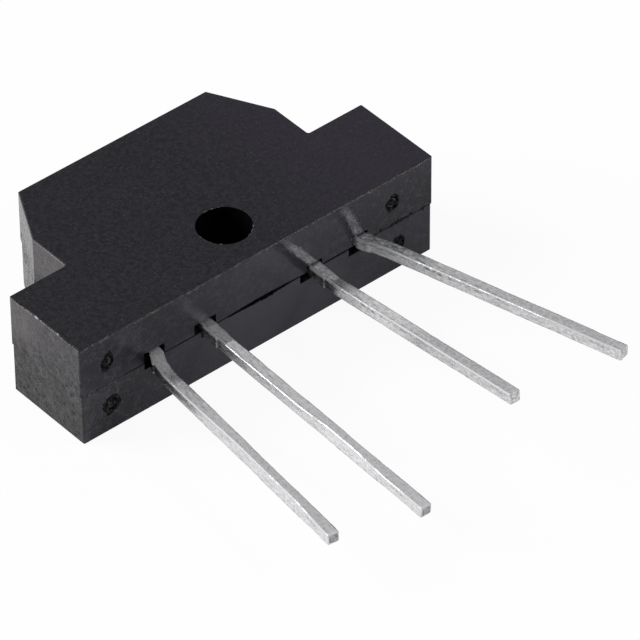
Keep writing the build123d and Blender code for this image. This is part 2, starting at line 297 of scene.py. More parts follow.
class Nodes:
    """Short way to add and join the nodes of one tree."""

    def __init__(self, tree):
        self.tree = tree

    def put(self, value, socket):
        """Joins a pattern to an input, or writes a value into it. A colour is red, green and blue."""
        if isinstance(value, bpy.types.NodeSocket):
            self.tree.links.new(value, socket)
        elif socket.type == "RGBA":
            socket.default_value = (*value, 1.0)
        else:
            socket.default_value = value

    def fill(self, node, **inputs):
        """Fills a node's inputs by name, or by place where the name is i and a number."""
        for name, value in inputs.items():
            key = int(name[1:]) if name[0] == "i" and name[1:].isdigit() else name.replace("_", " ")
            self.put(value, node.inputs[key])
        return node

    def add(self, kind, options=None, **inputs):
        """A shader node of a kind, with its options set and its inputs filled."""
        node = self.tree.nodes.new("ShaderNode" + kind)
        for name, value in (options or {}).items():
            setattr(node, name, value)
        return self.fill(node, **inputs)

    def group(self, tree, **inputs):
        """Outputs of a node group with its inputs filled."""
        return self.add("Group", {"node_tree": tree}, **inputs).outputs

    def parts(self, vector):
        """The three parts of a vector."""
        return self.add("SeparateXYZ", Vector=vector).outputs[:3]

    def math(self, operation, *values):
        """Math on one or two values."""
        inputs = {f"i{place}": value for place, value in enumerate(values)}
        return self.add("Math", {"operation": operation}, **inputs).outputs[0]

    def times(self, first, *others):
        """The product of the values."""
        for other in others:
            first = self.math("MULTIPLY", first, other)
        return first

    def most(self, first, *others):
        """The highest of the values."""
        for other in others:
            first = self.math("MAXIMUM", first, other)
        return first

    def plus(self, first, second):
        """The sum of two values."""
        return self.math("ADD", first, second)

    def less(self, first, second):
        """The first value less the second."""
        return self.math("SUBTRACT", first, second)

    def off(self, value, middle):
        """How far a value lies from a middle."""
        return self.math("ABSOLUTE", self.less(value, middle))

    def mix(self, share, first, second):
        """Two colours mixed by a share."""
        return self.add("Mix", {"data_type": "RGBA"}, i0=share, i6=first, i7=second).outputs[2]

    def layers(self, colour, *layers):
        """A first colour with others laid over it in turn, each given as a mask and a colour."""
        for mask, laid in layers:
            colour = self.mix(mask, colour, laid)
        return colour

    def span(self, value, low, high, new_low=0.0, new_high=1.0):
        """A value moved from one range to another and held inside it."""
        ends = {"From_Min": low, "From_Max": high, "To_Min": new_low, "To_Max": new_high}
        return self.add("MapRange", {"clamp": True}, Value=value, **ends).outputs[0]

    def fade(self, value, low, high, first=1.0):
        """A fall from a first height to nought while a value passes from low to high."""
        return self.span(value, low, high, first, 0.0)

    def band(self, value, low, full, fall, end):
        """A mask that rises from low to full and falls again from fall to end."""
        return self.times(self.span(value, low, full), self.fade(value, fall, end))

    def blend(self, mask, first, second):
        """A value that goes from the first to the second with a mask."""
        return self.span(mask, 0.0, 1.0, first, second)

    def noise(self, vector, scale, detail=2.0, roughness=0.5):
        """A noise value between about 0.3 and 0.7, in cycles per millimetre."""
        node = self.add("TexNoise", Vector=vector, Scale=scale, Detail=detail, Roughness=roughness)
        return node.outputs["Fac"]

    def stretch(self, vector, scale, turn=(0.0, 0.0, 0.0)):
        """A vector scaled and turned by a Mapping node."""
        return self.add("Mapping", Vector=vector, Scale=scale, Rotation=turn).outputs[0]

    def streaks(self, vector, scale, detail=2.0, roughness=0.5):
        """A noise value with its own cycles per millimetre along each direction."""
        return self.noise(self.stretch(vector, scale), 1.0, detail, roughness)

    def cells(self, vector, scale):
        """Distance to the nearest of scattered points, in units of their mean spacing."""
        node = self.add("TexVoronoi", {"feature": "F1"}, Vector=vector, Scale=scale, Randomness=1.0)
        return node.outputs["Distance"]

    def bump(self, height, strength, distance, normal=None):
        """A normal from a height, over another normal if one is given. The distance is in millimetres."""
        under = {} if normal is None else {"Normal": normal}
        node = self.add("Bump", Height=height, Strength=strength, Distance=distance * MM, **under)
        return node.outputs[0]


def deeper(colour, share):
    """A colour with every channel times a share."""
    return tuple(share * channel for channel in colour)


def new_group(name, inputs, outputs):
    """An empty shader node group with named inputs and outputs."""
    group = bpy.data.node_groups.new(name, "ShaderNodeTree")
    for label, (kind, value) in inputs.items():
        group.interface.new_socket(label, in_out="INPUT", socket_type=kind).default_value = value
    for label in outputs:
        group.interface.new_socket(label, in_out="OUTPUT", socket_type="NodeSocketFloat")
    source = group.nodes.new("NodeGroupInput")
    sink = group.nodes.new("NodeGroupOutput")
    return group, Nodes(group), source.outputs, sink.inputs


def moulded_grain_group():
    """Spark-eroded mould texture: fine grains at two sizes, a slow change of gloss, and bright specks.

    Height is a noise plus half of one about twice as fine. Mottle is a slow noise stretched to run from zero
    to one. Specks are the few highest grains of the finer noise.
    """
    group, n, given, out = new_group(
        "moulded_grain",
        {
            "Vector": ("NodeSocketVector", (0, 0, 0)),
            "Grains per mm": ("NodeSocketFloat", 8.0),
            "Mottles per mm": ("NodeSocketFloat", 0.8),
            "Speck level": ("NodeSocketFloat", 0.66),
        },
        ("Height", "Mottle", "Specks"),
    )
    coarse = n.noise(given["Vector"], given["Grains per mm"], 3.0, 0.6)
    fine = n.noise(given["Vector"], n.times(given["Grains per mm"], 2.1), 1.0, 0.5)
    n.put(n.plus(coarse, n.times(fine, 0.5)), out["Height"])
    slow = n.noise(given["Vector"], given["Mottles per mm"], 4.0, 0.65)
    n.put(n.span(slow, 0.3, 0.7), out["Mottle"])
    n.put(n.span(fine, given["Speck level"], n.plus(given["Speck level"], 0.1)), out["Specks"])
    return group


def handling_marks_group():
    """Short fine scratches in two directions and thin dust, as masks from zero to one.

    A scratch is where a noise stretched along its direction passes through its middle value, kept only
    where a slower noise is high. Dust is the peaks of a fine noise.
    """
    group, n, given, out = new_group(
        "handling_marks",
        {"Vector": ("NodeSocketVector", (0, 0, 0)), "Scratch width": ("NodeSocketFloat", 0.006)},
        ("Scratches", "Dust"),
    )
    kept = n.span(n.noise(given["Vector"], 0.5, 2.0), 0.5, 0.62)
    strokes = []
    for turn in ((0.3, 0.2, 0.6), (-0.4, 0.5, -0.9)):
        field = n.noise(n.stretch(given["Vector"], (2.4, 0.25, 2.4), turn), 1.0, 2.0, 0.6)
        strokes.append(n.math("LESS_THAN", n.off(field, 0.5), given["Scratch width"]))
    n.put(n.times(n.most(*strokes), kept), out["Scratches"])
    n.put(n.span(n.noise(given["Vector"], 11.0, 1.0), 0.68, 0.76), out["Dust"])
    return group


MOULDED_GRAIN = moulded_grain_group()
HANDLING_MARKS = handling_marks_group()


def emptied(owner):
    """The node tree of a material or a world, cleared."""
    owner.use_nodes = True
    owner.node_tree.nodes.clear()
    return Nodes(owner.node_tree)


def new_material(name, chart=False):
    """A material with only a Principled BSDF and an output, and its places in millimetres.

    Places are object coordinates, or the piece's own chart.
    """
    material = bpy.data.materials.new(name)
    n = emptied(material)
    shader = n.add("BsdfPrincipled")
    n.add("OutputMaterial", Surface=shader.outputs[0])
    if chart:
        place = n.add("UVMap", {"uv_map": "chart"}).outputs[0]
    else:
        where = n.add("TexCoord").outputs["Object"]
        place = n.add("VectorMath", {"operation": "SCALE"}, Vector=where, Scale=1 / MM).outputs[0]
    return material, n, shader, place


# Finishes

def back_face_finish(n, place, x, z, on_back, mottle):
    """Layers of tone and the roughness of the glossy back face.

    It is painted darkest above the parting line towards both ends, as painted shade that dims its reflection
    of the floor there, has painted glints in small pale patches, and is painted a little paler below the
    parting line, as a painted reflection of brighter floor. Rubbing dulls it in patches, and a haze lies over
    its left part, most of all above the parting line.
    """
    # Painted shade above the parting line towards both ends, dimming the reflected floor
    ends = n.most(n.span(x, -2.2, -0.8, 1.0, 0.3), n.span(x, 1.5, 3.5, 0.0, 0.75))
    upper = n.times(n.span(z, MID - 0.02, MID + 0.25), on_back, ends)
    # Painted glints: small pale patches over the back face
    painted_glints = n.times(n.span(n.noise(place, 3.6, 4.0, 0.82), 0.51, 0.6), on_back, 0.6)
    # Painted light below the parting line, strongest across the middle, standing in for brighter reflected
    # floor
    middle = n.times(n.span(x, -7.0, -1.0, 0.16, 1.0), n.span(x, 2.0, 7.0, 1.0, 0.4))
    lower = n.times(n.span(z, MID - 0.15, MID + 0.05, 1.0, 0.45), middle, on_back)
    layers = (
        (upper, (0.0006, 0.0002, 0.0058)),
        (painted_glints, (0.056, 0.050, 0.068)),
        (lower, (0.050, 0.047, 0.060)),
    )
    rubbed = n.times(mottle, n.span(n.noise(place, 3.0, 4.0, 0.7), 0.4, 0.6))
    hazed = n.times(n.fade(x, -1.2, 0.8, 0.35), n.span(z, MID - 0.2, MID + 0.4, 0.4, 1.0))
    return layers, n.plus(hazed, n.blend(rubbed, 0.05, 0.16))


def flank_finish(n, place, y, z, on_flank):
    """Layers of tone and the roughness of the flanks: pale blotches, dark rings, stains and pits.

    The blotches are the high part of a noise, thinned where a slower noise is high, and both together make
    the pale tone, which is a little weaker near the underside. The rings lie at one distance from scattered
    points, where another noise is high. The stains and the pits are the high parts of a slow and of a fine
    noise. The dark marks are weaker towards the top, and weakest on the smoother upper flanks beside the
    nose.
    """
    smooth = n.times(n.span(y, 0.0, 1.2), n.span(z, 2.7, 3.4))
    wide = n.span(n.noise(place, 0.9, 3.0, 0.6), 0.36, 0.64)
    blotches = n.times(n.span(n.noise(place, 3.6, 5.0, 0.75), 0.42, 0.62), n.blend(wide, 1.0, 0.45))
    pale = n.blend(smooth, n.plus(n.times(wide, 0.35), n.times(blotches, 0.65)), 0.75)
    pale = n.times(pale, n.span(z, 0.2, 2.2, 0.78, 1.0), on_flank)
    rings = n.times(
        n.fade(n.off(n.cells(place, 3.6), 0.3), 0.04, 0.12),
        n.span(n.noise(place, 2.6, 4.0, 0.75), 0.44, 0.54),
        n.span(z, MID - 0.5, MID + 1.5, 1.0, 0.5), n.blend(smooth, 1.0, 0.15), on_flank,
    )
    stains = n.times(
        n.blend(n.span(n.noise(place, 1.7, 5.0, 0.75), 0.46, 0.58), 0.2, 1.0),
        n.span(z, MID - 0.3, MID + 0.5, 1.0, 0.4), n.blend(smooth, 1.0, 0.0), on_flank,
    )
    pits = n.times(
        n.blend(n.span(n.noise(place, 3.4, 4.0, 0.8), 0.49, 0.56), 0.0, 0.85),
        n.span(z, MID - 0.8, MID + 1.0, 1.0, 0.5), n.blend(smooth, 1.0, 0.7), on_flank,
    )
    layers = (
        (pale, (0.086, 0.075, 0.080)),
        (rings, (0.002, 0.0018, 0.0025)),
        (stains, (0.002, 0.0016, 0.0022)),
        (pits, (0.004, 0.0035, 0.0045)),
    )
    return layers, n.blend(rings, n.blend(blotches, 0.18, 0.4), 0.6)


def housing_plastic():
    """Black glass-filled plastic: dull and grainy on top, glossy on the back face, blotched on the flanks.

    Every face has a fine mould grain with specks, faint scratches and dust. The top is painted a little paler
    towards the right, as painted light. The narrow broken edges beside the parting line and the wall behind
    the bore's dark shade sheet are rough and dark; the darkened wall is painted shade.
    """
    material, n, shader, place = new_material("housing_plastic")
    x, y, z = n.parts(place)
    on_top = n.span(z, HEIGHT - 0.03, HEIGHT - 0.01)
    on_back = n.math("LESS_THAN", y, REAR_Y + 0.01)
    on_flank = n.less(1.0, n.most(on_top, on_back))
    grain = n.group(MOULDED_GRAIN, Vector=place, Grains_per_mm=5.2, Mottles_per_mm=0.9, Speck_level=0.64)
    marks = n.group(HANDLING_MARKS, Vector=place, Scratch_width=0.003)
    back_layers, back_rough = back_face_finish(n, place, x, z, on_back, grain["Mottle"])
    flank_layers, flank_rough = flank_finish(n, place, y, z, on_flank)
    seam = n.times(n.fade(n.off(z, MID), 0.024, 0.034), n.math("GREATER_THAN", y, REAR_Y - 0.001))
    beside = n.add("CombineXYZ", X=x, Y=y).outputs[0]
    out = n.add("VectorMath", {"operation": "LENGTH"}, Vector=beside).outputs["Value"]
    # Painted shade: the housing's wall inside the bore is painted near-black
    bore = n.times(n.math("LESS_THAN", out, HOLE_RADIUS + 0.01), n.math("LESS_THAN", z, HEIGHT - 0.01))
    seam_and_bore_shade = n.most(seam, bore)
    tone = n.layers(
        n.mix(n.span(grain["Height"], 0.63, 0.87), (0.0, 0.0, 0.0008), (0.0132, 0.0107, 0.0186)),
        (n.times(grain["Mottle"], 0.45), (0.0040, 0.0031, 0.0052)),
        *back_layers,
        *flank_layers,
        # Painted light: the top is painted a little paler towards the right
        (n.times(on_top, n.span(x, 1.0, 6.5, 0.0, 0.6)), (0.017, 0.014, 0.024)),
        (n.times(grain["Specks"], 0.5), (0.045, 0.044, 0.05)),
        (n.times(marks["Scratches"], 0.12), (0.07, 0.07, 0.075)),
        (n.times(marks["Dust"], 0.12), (0.12, 0.12, 0.125)),
        (seam_and_bore_shade, (0.0006, 0.0006, 0.0007)),
    )
    rough = n.blend(on_top, n.blend(on_back, flank_rough, back_rough), 0.56)
    lumps = n.times(n.noise(place, 3.2, 5.0, 0.7), n.blend(on_flank, 0.3, 2.6))
    ripple = n.times(grain["Height"], n.blend(on_back, 1.8, n.span(x, -1.0, 1.0, 1.7, 0.6)))
    n.fill(
        shader, Base_Color=tone, Roughness=n.blend(seam_and_bore_shade, rough, 0.95), IOR=1.49, Specular_IOR_Level=0.36,
        Normal=n.bump(ripple, 0.7, 0.012, n.bump(lumps, 0.7, 0.02)),
    )
    return material


def shine_left(share):
    """Range of a broken noise below which a share of a lead's shine is left."""
    return 0.34 + 0.32 * share, 0.37 + 0.32 * share


def lead_tin(
    lead, tone, gloss, blotches, near_gloss, shaded_stained_flank, shade_and_stain_band, shaded_top, skin, bright_ridge,
    matte_flank, flecks, glints=(0.0, 0.1, 0.0), matte_top=(0.0, 0.1, 0.0),
):
    """Tin plate on drawn wire: fine lines along it, speckles and blotches, and painted shade with some stain
    beside the body.

    The chart runs along the lead from the back face and around it from the foot of its right flank over its
    top, so that in half turns of the section the flanks lie between 0 and 0.42, the top between 0.5 and 0.92
    and the upper left edge between 0.92 and 1.

    Gloss and near gloss: the lowest roughness far from the body and beside it. Blotches: how strong the
    blotches and speckles are. Shaded stained flank: where the flank's dark layer begins to fade, where it
    ends, and its strength; this layer is painted shade for the dark back face and shaded floor that the flank
    mirrors beside the body, and partly real stain in its mottling. It covers the whole flank beside the body
    and narrows to the shade and stain band between 1.2 and 2 mm out; a band that begins above nought is solid
    at first. Shaded top: where the painted shade on the top beside the body begins, begins to fade and ends,
    and its strength. Skin: how much moulding resin dulls the top beside the body. Bright ridge: where the
    shine on the upper left edge begins and ends, and how much of it is left between them; glints say the
    same of a second stretch, where it is left in spots. Matte flank and matte top: where they lose their
    mirror shine, where that ends, and how much. Flecks: how many dark flecks lie beside the edge.
    """
    material, n, shader, place = new_material(lead.replace("_lead", "_tin"), chart=True)
    length = sum(run[0] for run in LEADS[lead][-1])
    along, around = n.parts(place)[:2]
    turned = n.math("FRACT", n.math("DIVIDE", around, 2 * QUARTER))
    flank = n.fade(turned, 0.4, 0.45)
    crown = n.less(1.0, flank)
    ridge = n.most(n.span(turned, 0.885, 0.91), n.fade(turned, 0.0, 0.02))
    crest = n.band(turned, 0.93, 0.945, 0.966, 0.981)
    beside = n.most(n.band(turned, 0.80, 0.86, 0.90, 0.93), n.band(turned, 0.0, 0.03, 0.1, 0.16))
    edge = n.band(turned, 0.38, 0.43, 0.5, 0.53)

    lines = n.streaks(place, (0.35, 9.0, 1.0), 4.0, 0.6)
    patches = n.span(n.streaks(place, (1.3, 2.6, 1.0), 5.0, 0.72), 0.42, 0.6)
    speckle = n.span(n.streaks(place, (6.0, 8.0, 1.0), 3.0, 0.7), 0.38, 0.62)
    pits = n.span(n.streaks(place, (4.5, 9.0, 1.0), 3.0, 0.7), 0.57, 0.66)
    dots = n.span(n.streaks(place, (3.0, 1.0, 1.0), 5.0, 0.75), 0.48, 0.6)
    dashes = n.span(n.streaks(place, (3.6, 10.0, 1.0), 4.0, 0.75), 0.5, 0.57)
    scabs = n.span(n.streaks(place, (2.4, 5.0, 1.0), 5.0, 0.8), 0.4, 0.56, 0.35, 1.0)
    broken = n.streaks(place, (1.3, 0.7, 1.0), 5.0, 0.75)
    uneven = n.times(scabs, n.span(speckle, 0.1, 0.7, 0.55, 1.0))
    spots = n.times(patches, blotches)

    # Painted shade on the flank beside the body, for the dark back face and shaded floor it mirrors, mottled
    # as partly real stain
    fade, gone, strength = shaded_stained_flank
    low, high = shade_and_stain_band
    solid = n.fade(along, 0.7, 1.3, 1.0 if low > 0 else 0.0)
    band = n.times(n.band(turned, low, low + 0.05, high, high + 0.06), flank)
    flank_shade_and_stain = n.times(
        n.span(along, fade, gone, strength, 0.5 * strength), n.blend(n.span(along, 1.2, 2.0), flank, band),
        n.most(uneven, solid), n.fade(along, gone - 0.05, gone + 0.1),
    )
    # Painted shade on the top beside the body
    begin, fade, gone, strength = shaded_top
    film = n.times(n.span(along, begin, begin + 0.4), n.fade(along, fade, gone, strength), crown, uneven)
    begin, gone, share = bright_ridge
    gaps = n.most(
        n.span(broken, *shine_left(share)), n.fade(along, begin, begin + 0.1), n.span(along, gone, gone + 0.1)
    )
    begin, gone, share = glints
    glint = n.times(
        n.fade(broken, *shine_left(share)), n.span(along, begin, begin + 0.5), n.fade(along, gone, gone + 0.5)
    )
    gaps = n.math("MINIMUM", gaps, n.less(1.0, glint))
    worn = n.times(ridge, n.most(gaps, n.less(1.0, crest)))
    # The rounded rim at each end is made rough and greyer, more on the emitter's leads on the left: tone
    # painted by side for how light falls on those ends
    rim = n.span(along, length - 0.16, length - 0.08, 0.0, 0.85 if lead.startswith("emitter") else 0.45)
    colour = n.layers(
        n.mix(spots, tone, deeper(tone, 0.86)),
        (n.times(speckle, n.span(along, 1.4, 3.0, 0.9 * blotches, 0.7 * blotches)), deeper(tone, 0.5)),
        (n.times(pits, n.blend(patches, 0.25, 0.8)), (0.2, 0.2, 0.2)),
        (n.times(edge, n.blend(dots, 0.15, 0.85)), (0.17, 0.17, 0.17)),
        (n.times(dashes, beside, n.span(along, 5.0, 9.0, flecks, 0.15 * flecks)), (0.12, 0.12, 0.12)),
        (flank_shade_and_stain, (0.04, 0.04, 0.04)),
        (film, (0.13, 0.145, 0.165)),
        (worn, deeper(tone, 0.7)),
        (rim, (0.72, 0.72, 0.73)),
    )

    resin = n.times(crown, n.fade(along, 0.9, 1.8, skin))
    begin, gone, strength = matte_flank
    matte = n.times(n.span(along, begin, begin + 0.3), n.fade(along, gone, gone + 2.0, strength), flank)
    begin, gone, strength = matte_top
    weathered = n.times(n.span(along, begin, begin + 0.8), n.fade(along, gone, gone + 2.5, strength), crown)

    close = n.blend(speckle, near_gloss, near_gloss * 1.8)
    rough = n.span(n.plus(lines, n.times(spots, 0.5)), 0.35, 0.9, gloss, gloss + 0.2)
    rough = n.plus(rough, n.times(speckle, 0.1 * blotches))
    rough = n.plus(n.blend(n.span(along, *NEAR_BODY), close, rough), n.times(ridge, 0.06))
    rough = n.blend(worn, rough, 0.75)

    fine = n.times(lines, n.span(along, *NEAR_BODY, near_gloss * 2.0, 1.0))
    relief = n.plus(patches, n.times(speckle, n.span(along, *NEAR_BODY, near_gloss * 20.0, 1.0)))
    relief = n.times(relief, n.span(along, *NEAR_BODY, near_gloss * 4.0, 1.0))
    n.fill(
        shader, Base_Color=colour, Metallic=n.blend(n.most(resin, matte, weathered), 0.8, 0.0),
        Roughness=n.span(rim, 0.0, 0.8, rough, 0.65),
        Normal=n.bump(relief, 0.25 * blotches + 0.05, 0.01, n.bump(fine, 0.3, 0.01)),
    )
    return material


def sheared_end(name, dark, light):
    """Cut end of a lead: rough and torn in dark and light patches, with drag lines running down."""
    material, n, shader, place = new_material(name)
    drag = n.streaks(place, (14.0, 14.0, 1.5), 3.0, 0.6)
    torn = n.noise(place, 7.0, 4.0, 0.7)
    n.fill(
        shader, Base_Color=n.mix(n.span(torn, 0.4, 0.6), dark, light), Metallic=0.8,
        Roughness=n.span(drag, 0.3, 0.7, 0.3, 0.55), Normal=n.bump(torn, 0.7, 0.02, n.bump(drag, 0.5, 0.02)),
    )
    return material


def torn_plastic():
    """Plastic torn at a gate or pressed out as flash: black and dull, stress-whitened on a few peaks."""
    material, n, shader, place = new_material("torn_plastic")
    coarse = n.noise(place, 7.0, 4.0, 0.7)
    fine = n.noise(place, 16.0, 2.0, 0.6)
    colour = n.layers(
        n.mix(n.span(coarse, 0.54, 0.74), (0.0003, 0.0003, 0.0005), (0.018, 0.018, 0.021)),
        (n.span(fine, 0.64, 0.71), (0.20, 0.20, 0.205)),
    )
    n.fill(
        shader, Base_Color=colour, Roughness=n.span(coarse, 0.35, 0.65, 0.7, 0.4), Specular_IOR_Level=0.14,
        Normal=n.bump(n.plus(coarse, fine), 0.9, 0.03),
    )
    return material


def bore_shade_and_seam_black():
    """Near-black, barely reflective plastic: painted shade that keeps the bore dark, with faint marks along
    it from the core pin being drawn; it also darkens the middle of the seam.
    """
    material, n, shader, place = new_material("bore_shade_and_seam_black")
    drawn = n.streaks(place, (7.0, 7.0, 0.7), 3.0, 0.6)
    n.fill(
        shader, Base_Color=n.mix(n.span(drawn, 0.4, 0.7), (0.0002, 0.0002, 0.0003), (0.002, 0.002, 0.0022)),
        Roughness=n.span(drawn, 0.3, 0.7, 0.9, 0.7), Specular_IOR_Level=0.04, Normal=n.bump(drawn, 0.4, 0.01),
    )
    return material


def edge_flash_with_glints(name, pale):
    """Pressed-out plastic along the edges: as black as the housing but broken into small shiny facets.

    Pale is the tone of facets painted as glints, standing in for light caught on the ragged edge.
    """
    material, n, shader, place = new_material(name)
    fine = n.noise(place, 12.0, 3.0, 0.7)
    # Pale facets: painted glints
    glint_facets = n.span(n.noise(place, 5.5, 4.0, 0.75), 0.44, 0.64)
    facets = n.plus(n.cells(place, 11.0), fine)
    n.fill(
        shader, Base_Color=n.mix(glint_facets, (0.022, 0.021, 0.025), (pale, pale, 1.06 * pale)),
        Roughness=n.span(fine, 0.35, 0.65, 0.3, 0.6), Normal=n.bump(facets, 1.0, 0.03),
    )
    return material


def frame_silver():
    """Silver plate on the lead frame heads: bright, with a fine stamped grain and a faint tarnish."""
    material, n, shader, place = new_material("frame_silver")
    grain = n.group(MOULDED_GRAIN, Vector=place, Grains_per_mm=6.0, Mottles_per_mm=1.5, Speck_level=0.7)
    n.fill(
        shader, Base_Color=n.mix(grain["Mottle"], (0.82, 0.81, 0.78), (0.74, 0.71, 0.64)), Metallic=1.0,
        Roughness=n.blend(grain["Mottle"], 0.16, 0.3), Normal=n.bump(grain["Height"], 0.2, 0.006),
    )
    return material


def cast_epoxy(name, clear, tint):
    """Cast epoxy of a lens: smooth, with the faintest ripple of its mould and slow clouds in its tint."""
    material, n, shader, place = new_material(name)
    cloud = n.span(n.noise(place, 0.9, 3.0), 0.35, 0.65)
    n.fill(
        shader, Base_Color=n.mix(cloud, tint, deeper(tint, 0.9)),
        Roughness=n.span(n.noise(place, 6.0, 3.0), 0.4, 0.7, 0.02, 0.09), IOR=1.53, Transmission_Weight=clear,
        Normal=n.bump(n.noise(place, 1.2, 2.0), 0.06, 0.02),
    )
    return material


def chip_surface(device, body, pad, frame_tone):
    """Top and flanks of a chip: a bond pad at its middle, a bright frame round its edge and a saw-cut flank.

    The pattern is centred on the middle of the chip's top and turned with the package.
    """
    side, width = CHIPS[device][:2]
    material, n, shader, place = new_material(device + "_die_surface")
    centre = tuple(on_device(side, (0.0, chip_top(device), 0.0)))
    moved = n.add("VectorMath", {"operation": "SUBTRACT"}, Vector=place, i1=centre).outputs[0]
    turned = n.stretch(moved, (1.0, 1.0, 1.0), (0.0, 0.0, -side * OPTICAL_TILT))
    across, up = n.parts(turned)[::2]
    far = n.most(n.math("ABSOLUTE", across), n.math("ABSOLUTE", up))
    saw = n.streaks(turned, (2.0, 30.0, 2.0), 3.0)
    film = n.span(n.noise(turned, 7.0, 3.0), 0.35, 0.65)
    colour = n.layers(
        n.mix(film, body, deeper(body, 1.3)),
        (n.math("GREATER_THAN", far, width / 2 - 0.03), frame_tone),
        (n.math("LESS_THAN", far, 0.05), pad),
    )
    n.fill(
        shader, Base_Color=colour, Metallic=0.6, Roughness=n.span(saw, 0.3, 0.7, 0.15, 0.4),
        Normal=n.bump(saw, 0.3, 0.005),
    )
    return material


def flaked_adhesive():
    """Silver-filled adhesive: pale grey flakes with a soft shine."""
    material, n, shader, place = new_material("flaked_adhesive")
    flakes = n.cells(place, 40.0)
    tone = n.span(n.noise(place, 12.0, 3.0), 0.35, 0.65)
    n.fill(
        shader, Base_Color=n.mix(tone, (0.42, 0.41, 0.39), (0.68, 0.67, 0.65)), Metallic=0.85,
        Roughness=n.span(flakes, 0.0, 0.6, 0.3, 0.6), Normal=n.bump(flakes, 0.6, 0.01),
    )
    return material


def drawn_gold():
    """Gold bond wire: warm and bright, with drawing lines along it."""
    material, n, shader, place = new_material("drawn_gold", chart=True)
    lines = n.streaks(place, (2.0, 60.0, 1.0), 3.0)
    colour = n.mix(n.span(lines, 0.3, 0.7), (0.88, 0.58, 0.22), (0.98, 0.72, 0.34))
    n.fill(
        shader, Base_Color=colour, Metallic=1.0, Roughness=n.span(lines, 0.3, 0.7, 0.15, 0.3),
        Normal=n.bump(lines, 0.2, 0.003),
    )
    return material


HOUSING_PLASTIC = housing_plastic()
TORN_PLASTIC = torn_plastic()
EDGE_FLASH_GLINTS = edge_flash_with_glints("edge_flash_with_glints", 0.13)
WHITE_GLINT_EDGE = edge_flash_with_glints("white_glint_edge", 0.7)
BORE_SHADE_AND_SEAM_BLACK = bore_shade_and_seam_black()
LEAD_TINS = {
    "emitter_anode_lead": lead_tin(
        "emitter_anode_lead", tone=(0.86, 0.86, 0.87), gloss=0.16, blotches=0.7, near_gloss=0.035,
        shaded_stained_flank=(0.9, 3.5, 1.0), shade_and_stain_band=(0.03, 0.27), shaded_top=(0.7, 3.0, 4.2, 0.25), skin=0.62,
        bright_ridge=(1.65, 2.1, 1.0), matte_flank=(0.0, 0.5, 0.0), flecks=0.25, glints=(7.6, 11.4, 0.24),
    ),
    "emitter_cathode_lead": lead_tin(
        "emitter_cathode_lead", tone=(0.91, 0.91, 0.92), gloss=0.16, blotches=0.6, near_gloss=0.035,
        shaded_stained_flank=(0.5, 2.6, 0.85), shade_and_stain_band=(-1.0, 0.5), shaded_top=(-1.0, 1.0, 2.0, 0.1), skin=0.35,
        bright_ridge=(1.0, 5.8, 0.75), matte_flank=(0.9, 2.4, 0.4), flecks=0.5, glints=(5.6, 11.0, 0.52),
    ),
    "detector_collector_lead": lead_tin(
        "detector_collector_lead", tone=(0.86, 0.86, 0.87), gloss=0.13, blotches=1.0, near_gloss=0.11,
        shaded_stained_flank=(1.2, 1.7, 0.88), shade_and_stain_band=(-1.0, 0.5), shaded_top=(-1.0, 0.6, 1.6, 0.25), skin=0.1,
        bright_ridge=(1.2, 4.2, 0.62), matte_flank=(1.4, 4.5, 1.0), flecks=0.9, matte_top=(1.8, 4.6, 0.5),
    ),
    "detector_emitter_lead": lead_tin(
        "detector_emitter_lead", tone=(0.86, 0.86, 0.87), gloss=0.22, blotches=1.0, near_gloss=0.12,
        shaded_stained_flank=(0.2, 2.4, 0.2), shade_and_stain_band=(-1.0, 0.5), shaded_top=(-1.0, 2.6, 3.5, 0.82), skin=0.0,
        bright_ridge=(2.4, 8.5, 0.58), matte_flank=(-1.0, 4.5, 0.45), flecks=1.0,
    ),
}
# Shaded and lit copies of one cut-end material, painted darker for the left leads and lighter for the right
SHADED_END = sheared_end("shaded_end", (0.22, 0.215, 0.21), (0.48, 0.48, 0.49))
LIT_END = sheared_end("lit_end", (0.38, 0.38, 0.38), (0.8, 0.8, 0.8))
FRAME_SILVER = frame_silver()
CLEAR_EPOXY = cast_epoxy("clear_epoxy", 1.0, (0.93, 0.95, 0.97))
DARK_EPOXY = cast_epoxy("dark_epoxy", 0.85, (0.035, 0.012, 0.03))
ADHESIVE_SILVER = flaked_adhesive()
DRAWN_GOLD = drawn_gold()


# Leads

def run_way(splay, rise):
    """Unit vector straight back, turned by splay towards +X and by rise upwards, in degrees."""
    turn, climb = radians(splay), radians(rise)
    return np.array([sin(turn) * cos(climb), -cos(turn) * cos(climb), sin(climb)])


